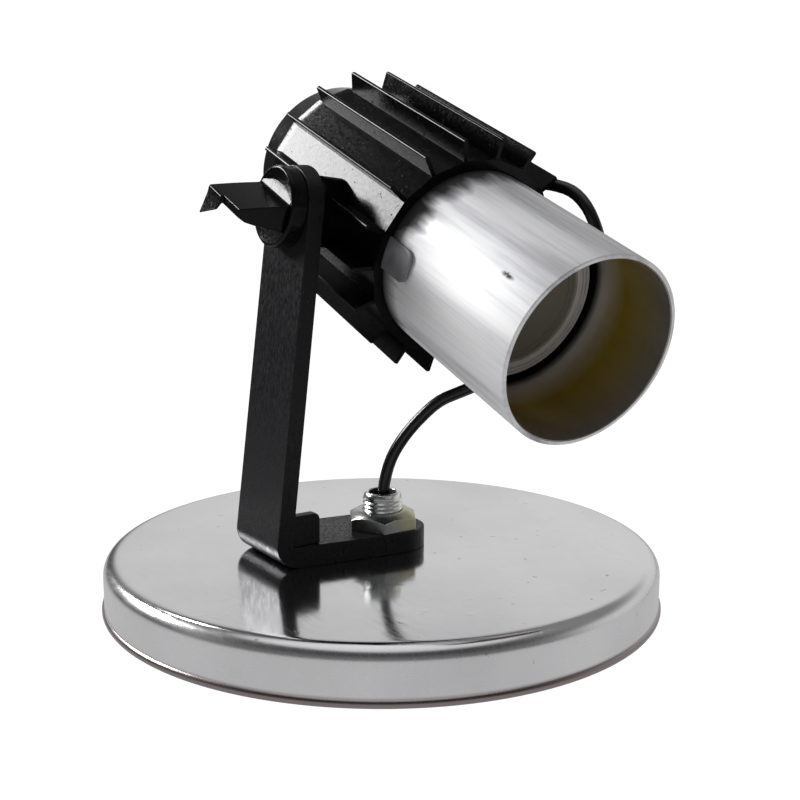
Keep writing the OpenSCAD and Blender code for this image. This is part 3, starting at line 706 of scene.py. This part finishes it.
for v in bm.verts:
    if v.co.x > heel - 1:
        v.co.y = -heel if v.co.y < arm_middle else heel
    if v.co.z > PIVOT.z:
        v.co.y = arm_middle + (v.co.y - arm_middle) * TIP_R / (ARM_WIDTH / 2)
bmesh.ops.recalc_face_normals(bm, faces=bm.faces)


def edges_at(bm, test):
    return [e for e in bm.edges if all(test(v.co) for v in e.verts)]


def through_plate(edges):
    """Those edges that run through the plate's thickness, and not along Y."""
    return [e for e in edges if abs(e.verts[0].co.y - e.verts[1].co.y) < 0.1]


round_edges(bm, edges_at(bm, lambda c: c.x < 0.1 - ARM_REACH and c.z < BASE_TOP + 0.1), BEND_R, 10)
round_edges(bm, through_plate(edges_at(bm, lambda c: c.z > PIVOT.z)), TIP_R - 0.1, 14)
round_edges(bm, through_plate(edges_at(bm, lambda c: c.x > heel - 1)), HEEL_BEVEL, 14)
round_edges(bm, sharp_edges(bm, 40), 0.35)
rib_size = Vector((13.4, 3.6, 9.8))
rib_middle = Vector((-33.8, -4, 28.4))
rib_corner = rib_middle + rib_size / 2
rib = box(bm, rib_size, rib_middle)
crown = {e for v in rib for e in v.link_edges
         if all(p.co.x > rib_corner.x - 1 and p.co.z > rib_corner.z - 1 for p in e.verts)}
rounding = round_edges(bm, list(crown), 1.8, 3)
rib_faces = {f for v in rib if v.is_valid for f in v.link_faces} | set(rounding)
rib_edges = {e for f in rib_faces for e in f.edges}
round_edges(bm, [e for e in rib_edges if e.calc_face_angle(0) > radians(50)], 0.4)
finish_piece(bm, "arm_bracket", UPRIGHT, "arm", "arm_plastic", ["arm"], arm_plastic, even=True)

# %% [markdown]
# The housing is a prism with eighteen flats, a fin on every corner and a slope at its rear. The flats come
# from a circle with eighteen sides, each side cut in four so that the same rings of points can close to a
# true circle where the cap and the tube go in. One fin is a bevelled box, and spin sets the others round
# the axis. The pivot boss and the spout for the flex are turned posts.

# %% Shell of the housing
FLATS = 18
SHELL_R = 32.6
REAR_FLAT_R = 31.5
SHELL_FRONT, SHELL_SHOULDER, SHELL_REAR = 31, -39.6, -44.4
BORE_R, STOP_R, SEAT_R = 29.4, 27.9, 29.05
STOP_REAR, TUBE_REAR = 15, 17
LEAD_IN = 0.4


def next_ring(bm, loop, radius=None, scale=1.0, z=0.0):
    """Grows a ring of edges into the next ring at a height, scaled or set to a circle."""
    grown = bmesh.ops.extrude_edge_only(bm, edges=loop)["geom"]
    for v in only(BMVert, grown):
        flat = v.co.xy.normalized() * radius if radius else v.co.xy * scale
        v.co = (flat.x, flat.y, z)
    return only(BMEdge, grown)


bm = bmesh.new()
bmesh.ops.create_circle(bm, segments=FLATS, radius=SHELL_R)
bmesh.ops.subdivide_edges(bm, edges=bm.edges[:], cuts=3)
bmesh.ops.translate(bm, verts=bm.verts, vec=(0, 0, SHELL_FRONT))
first = bm.edges[:]
loop = next_ring(bm, first, z=SHELL_SHOULDER)
loop = next_ring(bm, loop, scale=REAR_FLAT_R / (SHELL_R * cos(pi / FLATS)), z=SHELL_REAR)
for radius, z in ((BORE_R + 0.2, SHELL_REAR), (BORE_R, SHELL_REAR + LEAD_IN), (BORE_R, STOP_REAR),
                  (STOP_R, STOP_REAR), (STOP_R, TUBE_REAR), (SEAT_R, TUBE_REAR),
                  (SEAT_R, SHELL_FRONT - LEAD_IN), (BORE_R, SHELL_FRONT)):
    loop = next_ring(bm, loop, radius=radius, z=z)
bmesh.ops.bridge_loops(bm, edges=first + loop)
shell_faces = len(bm.faces)
print("faces of the shell:", shell_faces)

# %% Fins of the housing
FIN_TIP_R = 39.1
FIN_DEPTH, FIN_THICK, FIN_LENGTH = 7.6, 1.35, 70.6
FIN_MIDDLE = -4.7
fin_step = 2 * pi / FLATS
fin = box(bm, (FIN_DEPTH, FIN_THICK, FIN_LENGTH), (FIN_TIP_R - FIN_DEPTH / 2, 0, FIN_MIDDLE))
tip_edges = {e for v in fin for e in v.link_edges if all(p.co.x > FIN_TIP_R - 0.1 for p in e.verts)}
round_edges(bm, list(tip_edges), 0.55, 4)
fin_faces = list(bm.faces)[shell_faces:]
fin_geom = {g for f in fin_faces for g in [f, *f.edges, *f.verts]}
bmesh.ops.rotate(bm, verts=only(BMVert, fin_geom), matrix=Matrix.Rotation(fin_step / 2, 3, "Z"))
bmesh.ops.spin(bm, geom=list(fin_geom), cent=(0, 0, 0), axis=(0, 0, 1), angle=2 * pi - fin_step,
               steps=FLATS - 1, use_duplicate=True)
print("fins:", (len(bm.faces) - shell_faces) // len(fin_faces))

# %% Boss and spout of the housing
BOSS_R, BOSS_ROOT, BOSS_LENGTH = 11, 29.5, 12
SPOUT_R, SPOUT_LENGTH = 3.6, 12.5
SPOUT_TURN = radians(40)
SPOUT_FOOT = (35.8, 0, -4.5)


def post(bm, radius, length, edge):
    """A turned post from Z = 0 with a rounded far edge, returned as its vertices."""
    old = set(bm.verts)
    section = [(0, 0), (radius, 0), (radius, length - edge)]
    section += arc(radius - edge, length - edge, edge, 20, 90, 4) + [(0, length)]
    lathe(bm, section, 48, closed=False)
    return [v for v in bm.verts if v not in old]


boss = post(bm, BOSS_R, BOSS_LENGTH, 0.6)
bmesh.ops.transform(bm, verts=boss,
                    matrix=Matrix.Rotation(-pi / 2, 4, "Y") @ Matrix.Translation((0, 0, BOSS_ROOT)))
spout = post(bm, SPOUT_R, SPOUT_LENGTH, 0.3)
web = box(bm, (4, 6, SPOUT_LENGTH - 0.1), (-2, 0, SPOUT_LENGTH / 2))
bmesh.ops.transform(bm, verts=spout + web,
                    matrix=Matrix.Rotation(SPOUT_TURN, 4, "Z") @ Matrix.Translation(SPOUT_FOOT))
finish_piece(bm, "finned_housing", head_place, "head", "head_plastic", ["housing"], head_plastic,
             crease=15, even=True)

# %% [markdown]
# The rear cap closes the housing with a plain rounded end. It is a cup turned on the lathe: the outside from
# the axis to the lip, then the plug that goes into the bore and the hollow inside.

# %% Rear cap
CAP_REAR = -60.9
CAP_ROUNDING = 4.5
PLUG_R, PLUG_FRONT = 29.3, -38
HOLLOW_R = 26
section = [(r, CAP_REAR) for r in (0, 12, 22)]
section += arc(23.6, CAP_REAR + CAP_ROUNDING, CAP_ROUNDING, 275, 350, 10)
section += [(29.2, -51), (30.5, -45.6), (30.7, -44.8), (30.5, -44.45), (PLUG_R, -44.3), (PLUG_R, PLUG_FRONT)]
section += [(HOLLOW_R, PLUG_FRONT), (HOLLOW_R, -58), (0, -58.2)]
bm = bmesh.new()
lathe(bm, section, closed=False)
finish_piece(bm, "end_cap", head_place, "head", "head_plastic", ["rear_cap"], head_plastic)

# %% [markdown]
# The tube is drawn aluminium, bright outside and dull inside, with a thin rounded lip. Two finishes sit on
# one mesh: the faces of the inner wall take the second one.

# %% Tube
TUBE_R, TUBE_BORE_R = 29, 27.5
TUBE_FRONT = 95.5
LIP = 0.4
section = [(TUBE_R, z) for z in (TUBE_REAR, 40, 70, TUBE_FRONT - LIP)]
section += arc(TUBE_R - LIP, TUBE_FRONT - LIP, LIP, 30, 90, 2)
section += [(TUBE_BORE_R + 0.3, TUBE_FRONT)]
section += [(TUBE_BORE_R, z) for z in (TUBE_FRONT - 0.3, 70, 40, TUBE_REAR)]


def line_bore(bm, radius):
    """Gives the second finish to the faces that lie within the radius."""
    for f in bm.faces:
        if f.calc_center_median().xy.length < radius:
            f.material_index = 1


bm = bmesh.new()
lathe(bm, section, 128)
line_bore(bm, TUBE_BORE_R + 0.2)
finish_piece(bm, "front_tube", head_place, "head", "tube_aluminium", ["tube"], tube_metal, tube_inside)

# %% [markdown]
# A spring tongue wedges the tube in its collar. It is a small flat plate with two round corners, bent to the
# tube by wrapping its points round the axis.

# %% Tongue
TONGUE_WIDTH, TONGUE_THICK = 10, 1.0
TONGUE_REAR, TONGUE_FRONT = 17.2, 44.5
TONGUE_CORNER = 3
TONGUE_BEND_R = TUBE_R + 0.1
TONGUE_LIFT = TUBE_R + 0.12  # just off the tube
bm = bmesh.new()
bmesh.ops.create_grid(bm, x_segments=10, y_segments=14, size=0.5)
for v in bm.verts:
    v.co.x *= TONGUE_WIDTH
    past = max(0.0, abs(v.co.x) - (TONGUE_WIDTH / 2 - TONGUE_CORNER))
    end = TONGUE_FRONT - TONGUE_CORNER + sqrt(max(0.0, TONGUE_CORNER ** 2 - past ** 2))
    v.co.y = TONGUE_REAR + (v.co.y + 0.5) * (end - TONGUE_REAR)
bmesh.ops.solidify(bm, geom=bm.faces[:], thickness=TONGUE_THICK)
round_edges(bm, sharp_edges(bm, 60), 0.2)
for v in bm.verts:
    turn = pi + v.co.x / TONGUE_BEND_R
    lift = TONGUE_LIFT + (TONGUE_THICK - v.co.z if v.co.z > TONGUE_THICK / 2 else -v.co.z)
    v.co = (lift * cos(turn), lift * sin(turn), v.co.y)
finish_piece(bm, "tube_tongue", head_place, "head", "clip_steel", ["tube_clip"], clip_steel)

# %% [markdown]
# The lamp shows its flat front only: a rim with two fine grooves and a dull front glass with fine rings
# moulded in it. Both are turned, and a groove or a ring is four more points on the section.

# %% Lamp rim
LAMP_REAR = 58.3
RIM_R, RIM_BORE_R, RIM_FRONT = 25, 20.5, 61.5


def ring_on(r, front, foot, crest, rise):
    """A ring that stands out of a flat front, or a groove where the rise is negative."""
    return [(r + foot, front), (r + crest, front + rise), (r - crest, front + rise), (r - foot, front)]


section = [(RIM_BORE_R, LAMP_REAR), (RIM_R, LAMP_REAR), (RIM_R, RIM_FRONT - 0.6)]
section += arc(RIM_R - 0.6, RIM_FRONT - 0.6, 0.6, 30, 90, 3)
for r in (23.6, 22.4):
    section += ring_on(r, RIM_FRONT, 0.25, 0.1, -0.5)
section += [(21.4, RIM_FRONT), (20.7, RIM_FRONT - 0.3), (RIM_BORE_R, RIM_FRONT - 1.1)]
bm = bmesh.new()
lathe(bm, section)
finish_piece(bm, "lamp_rim", head_place, "head", "lamp_shell", ["lamp_bezel"], bezel_grey)

# %% Lamp glass
GLASS_R, GLASS_FRONT = 20.4, 60.3
section = [(0, LAMP_REAR), (GLASS_R, LAMP_REAR), (GLASS_R, GLASS_FRONT)]
for r in (19.6, 18.2):
    section += ring_on(r, GLASS_FRONT, 0.35, 0.12, 0.3)
section += [(12, GLASS_FRONT), (0, GLASS_FRONT)]
bm = bmesh.new()
lathe(bm, section, closed=False)
finish_piece(bm, "lamp_glass", head_place, "head", "lamp_glass", ["lamp_lens"], lens_grey)

# %% [markdown]
# The hollow nipple has a real thread: one tooth spun as a screw, climbing one pitch a turn, and closed at
# both ends. A plain core and a chamfered collar carry it.

# %% Nipple
NIPPLE_BORE_R, CORE_R, ROOT_R, CREST_R = 4.4, 5.95, 5.9, 6.45
NIPPLE_FOOT, NIPPLE_TOP = 7.3, 35.0
THREAD_START = 27.6
TURNS, FACETS, PITCH = 3.5, 48, 1.35
bm = bmesh.new()
profile = [(ROOT_R, 0), (CREST_R, 0.5), (CREST_R, 0.7), (ROOT_R, 1.3)]
tooth = [bm.verts.new((r, 0, THREAD_START + z)) for r, z in profile]
strip = [bm.edges.new(p) for p in zip(tooth, tooth[1:] + tooth[:1])]
steps = int(TURNS * FACETS)
bmesh.ops.spin(bm, geom=tooth + strip, cent=(0, 0, 0), axis=(0, 0, 1), angle=2 * pi * TURNS, steps=steps,
               dvec=(0, 0, PITCH * TURNS / steps))
bmesh.ops.holes_fill(bm, edges=bm.edges[:], sides=4)
section = [(NIPPLE_BORE_R, NIPPLE_FOOT), (CORE_R, NIPPLE_FOOT), (CORE_R, 33), (6.3, 33.1), (6.35, 33.4),
           (5.75, 34.6), (5.4, 34.95), (5.0, NIPPLE_TOP), (4.6, 34.8), (NIPPLE_BORE_R, 34.4)]
lathe(bm, section, FACETS)
line_bore(bm, NIPPLE_BORE_R + 0.15)
finish_piece(bm, "threaded_nipple", UPRIGHT, "base", "zinc_steel", ["nipple"], zinc, rubber, crease=40)

# %% [markdown]
# The nut on the foot is a hexagon whose top is turned to a cone, which leaves an arc on each flat. Each side
# is cut in ten, so that its upper points can follow the cone, and the outer edges get a small bevel that
# catches the light.

# %% Nut on the foot
NUT_FLATS = 21
NUT_BORE_R = 6.6
CONE_R = 8.4
nut_low, nut_high = (corner[2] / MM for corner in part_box("clamp_nut"))
bm = bmesh.new()
bmesh.ops.create_circle(bm, segments=6, radius=NUT_FLATS / sqrt(3))
bmesh.ops.rotate(bm, verts=bm.verts, matrix=Matrix.Rotation(radians(30), 3, "Z"))
bmesh.ops.subdivide_edges(bm, edges=bm.edges[:], cuts=9)
bmesh.ops.translate(bm, verts=bm.verts, vec=(0, 0, nut_low))
first = bm.edges[:]
loop = next_ring(bm, first, z=nut_high)
for v in {v for e in loop for v in e.verts}:
    v.co.z -= (v.co.xy.length - CONE_R) * tan(radians(30))
for radius, z in ((CONE_R, nut_high), (NUT_BORE_R, nut_high), (NUT_BORE_R, nut_low)):
    loop = next_ring(bm, loop, radius=radius, z=z)
bmesh.ops.bridge_loops(bm, edges=first + loop)
bmesh.ops.recalc_face_normals(bm, faces=bm.faces)
outer = [e for e in sharp_edges(bm, 20) if max(v.co.xy.length for v in e.verts) > NUT_FLATS / 2 - 0.5]
round_edges(bm, outer, 0.25)
finish_piece(bm, "foot_nut", UPRIGHT, "base", "zinc_steel", ["clamp_nut"], zinc_gold, crease=40, even=True)

# %% [markdown]
# The wing screw is a shallow dished flange, turned on the lathe, with a thick blade across it. The blade is a
# single face pulled out in short stretches. Each stretch is set a little narrower, so the root flares into
# the flange and the underside bulges as a moulded grip does. The lip is pulled out of the rear half of its
# end.

# %% Flange of the wing screw
FLANGE_R, FLANGE_EDGE = 12.5, 4.3
section = [(0, 0), (FLANGE_R - 0.2, 0), (FLANGE_R, 0.3), (FLANGE_R, FLANGE_EDGE)]
section += arc(FLANGE_R - 1, FLANGE_EDGE, 1.0, 20, 100, 5)
section += [(10.6, 5.05), (7, 4.35), (3, 3.95), (0, 3.9)]
bm = bmesh.new()
lathe(bm, section, 72, closed=False)
flange = set(bm.faces)
print("faces of the flange:", len(flange))

# %% Blade of the wing screw
BLADE_ROOT = 1  # inside the flange
BLADE_END = 21.4
BEVEL_FROM = 3.4
LIP_START = 0.8  # across the blade, from its middle


def grow(bm, faces):
    """Pulls faces out in place and returns the new points and the new end faces."""
    out = bmesh.ops.extrude_face_region(bm, geom=faces)["geom"]
    bmesh.ops.delete(bm, geom=faces, context="FACES_ONLY")
    return only(BMVert, out), only(BMFace, out)


def draw_out(bm, faces, step):
    """Pulls faces out by one step and returns the moved faces and the new sides."""
    old = set(bm.faces)
    points, moved = grow(bm, faces)
    bmesh.ops.translate(bm, vec=step, verts=points)
    return moved, [f for f in bm.faces if f not in old and f not in moved]


root = bmesh.ops.create_grid(bm, x_segments=1, y_segments=1, size=5,
                             matrix=Matrix.Translation((0, 0, BLADE_ROOT)))
end = list(root["verts"][0].link_faces)
for low, high, half, z in ((-6.2, 7.6, 9.4, 4.5), (-5.4, 6.1, 9.8, 4.8), (-4.6, 4.4, 10.2, 5.42),
                           (-4.5, 4.0, 10.3, 5.8), (-4.2, 3.75, 10.35, 6.6), (-3.8, 3.1, 10.3, 11),
                           (-3.4, 2.45, 10.25, 15), (-2.7, 1.8, 10.25, 18.5), (-1.2, 1.25, 10.25, BLADE_END)):
    points, end = grow(bm, end)
    for v in points:
        v.co = (high if v.co.x > 0 else low, half if v.co.y > 0 else -half, z)
bmesh.ops.holes_fill(bm, edges=[e for e in bm.edges if e.is_boundary], sides=4)
end_geom = {g for f in end for g in [f, *f.edges, *f.verts]}
bmesh.ops.bisect_plane(bm, geom=list(end_geom), plane_co=(0, LIP_START, 0), plane_no=(0, 1, 0))
middles = [(f, f.calc_center_median()) for f in bm.faces if f not in flange]
rear = [f for f, c in middles if c.z > BLADE_END - 0.1 and c.y > LIP_START]
sides = draw_out(bm, rear, (-0.3, 0, 1.0))[1]
bmesh.ops.recalc_face_normals(bm, faces=bm.faces)
under = [f for f in sides if f.normal.x < -0.8]
lip_end = draw_out(bm, under, (-6.9, 0, 1.1))[0]
for v in {v for f in lip_end for v in f.verts}:
    if v.co.y < LIP_START + 1:
        v.co.x += 4.8
bmesh.ops.recalc_face_normals(bm, faces=bm.faces)
rims = [e for e in sharp_edges(bm, 28)
        if not any(f in flange for f in e.link_faces) and min(v.co.z for v in e.verts) > BEVEL_FROM]
round_edges(bm, rims, 0.8, 3)
finish_piece(bm, "wing_blade", grip_place, "wing_screw", "head_plastic", ["wing_grip"], grip_plastic,
             even=True)
